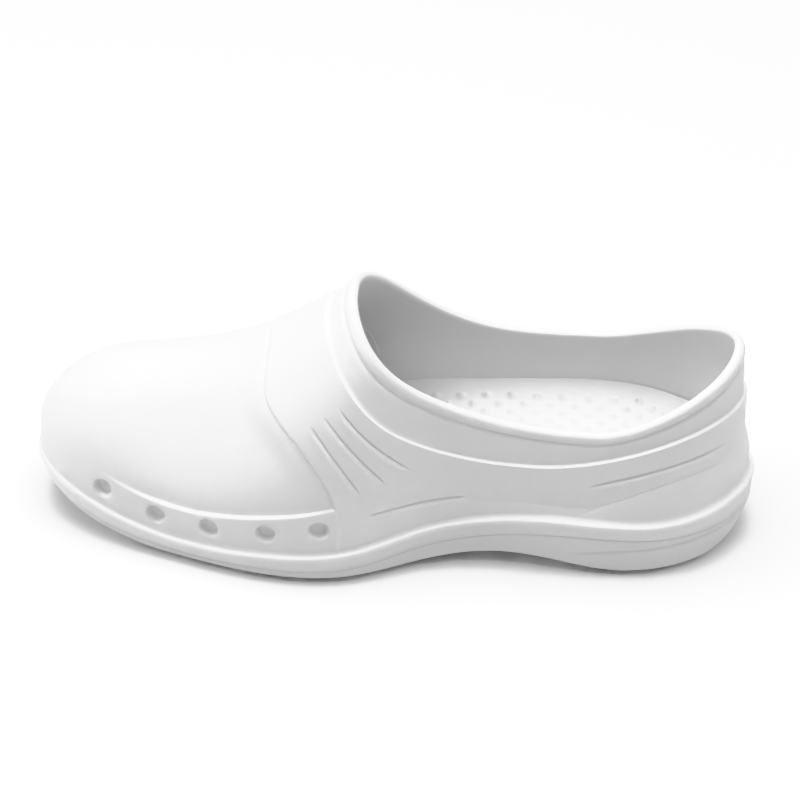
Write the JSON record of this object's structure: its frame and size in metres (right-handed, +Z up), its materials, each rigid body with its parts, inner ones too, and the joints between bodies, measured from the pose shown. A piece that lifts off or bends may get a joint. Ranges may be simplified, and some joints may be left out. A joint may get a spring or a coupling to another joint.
{
  "type": "work slipper",
  "caption": "Closed-back work slipper moulded in white foam, with a low open collar, a ledge round the sole, blind side vents and a loose nubbed footbed. Left shoe.",
  "frame": {"origin": "on the floor, under the middle of the shoe's box", "axes": "+X from heel to toe, +Y towards the wearer's left, the outer side of this left shoe, +Z up"},
  "size_m": [0.285, 0.1065, 0.1057],
  "materials": {
    "foam": "white moulded foam, matte to satin",
    "sole": "white, matte",
    "footbed": "pale foam with rows of nubs, matte"
  },
  "bodies": {
    "root": {"upper_with_midsole": "foam", "outsole": "sole", "insole": "footbed"}
  },
  "joints": []
}
